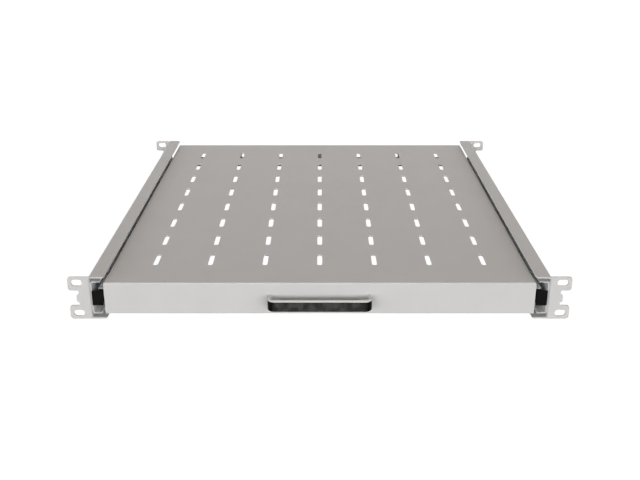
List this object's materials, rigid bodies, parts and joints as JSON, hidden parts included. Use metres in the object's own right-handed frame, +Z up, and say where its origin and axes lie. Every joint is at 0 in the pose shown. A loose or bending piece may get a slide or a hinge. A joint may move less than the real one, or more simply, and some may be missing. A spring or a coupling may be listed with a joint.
{
  "type": "sliding rack shelf",
  "caption": "Low sliding shelf for a 19-inch rack: slotted deck with a front pull, carried on ball-bearing slides between two eared side brackets.",
  "frame": {"origin": "centre of the front ears' four slots, on the ears' rear face that lies against the front posts", "axes": "+X to the right seen from the front, +Y to the rear of the rack, +Z up; the tray slides out along -Y"},
  "size_m": [0.4826, 0.515, 0.044],
  "materials": {
    "grey_coat": "fine satin light-grey powder coat",
    "zinc_rail": "rolled steel with bright zinc plating",
    "cage_steel": "stamped bright steel strip",
    "ball_steel": "polished bearing steel",
    "zinc_screw": "zinc-plated steel",
    "black_plastic": "moulded black plastic",
    "black_grip": "black plastic, slightly glossy and worn by hands",
    "black_rubber": "black rubber"
  },
  "bodies": {
    "frame": {"left_bracket": "grey_coat", "right_bracket": "grey_coat", "left_outer_rail": "zinc_rail", "right_outer_rail": "zinc_rail", "left_rear_bumper": "black_rubber", "right_rear_bumper": "black_rubber", "outer_rail_screws": "zinc_screw"},
    "middle_rails": {"left_middle_rail": "zinc_rail", "right_middle_rail": "zinc_rail"},
    "outer_cages": {"left_outer_cages": "cage_steel", "right_outer_cages": "cage_steel", "left_outer_balls": "ball_steel", "right_outer_balls": "ball_steel"},
    "inner_cages": {"left_inner_cages": "cage_steel", "right_inner_cages": "cage_steel", "left_inner_balls": "ball_steel", "right_inner_balls": "ball_steel"},
    "tray": {"shelf_tray": "grey_coat", "left_inner_rail": "zinc_rail", "right_inner_rail": "zinc_rail", "left_end_cap": "black_plastic", "right_end_cap": "black_plastic", "inner_rail_screws": "zinc_screw", "handle_bow": "grey_coat", "handle_grip": "black_grip", "handle_screws": "zinc_screw"}
  },
  "joints": [
    {"name": "tray_slide", "type": "slide", "parent": "frame", "child": "tray", "axis": [0, -1, 0], "range_m": [0, 0.45]},
    {"name": "middle_slide", "type": "slide", "parent": "frame", "child": "middle_rails", "axis": [0, -1, 0], "range_m": [0, 0.225]},
    {"name": "outer_cage_slide", "type": "slide", "parent": "frame", "child": "outer_cages", "axis": [0, -1, 0], "range_m": [0, 0.1125]},
    {"name": "inner_cage_slide", "type": "slide", "parent": "frame", "child": "inner_cages", "axis": [0, -1, 0], "range_m": [0, 0.3375]}
  ],
  "couplings": [
    {"joint": "middle_slide", "follows": "tray_slide", "ratio": 0.5},
    {"joint": "outer_cage_slide", "follows": "tray_slide", "ratio": 0.25},
    {"joint": "inner_cage_slide", "follows": "tray_slide", "ratio": 0.75}
  ]
}
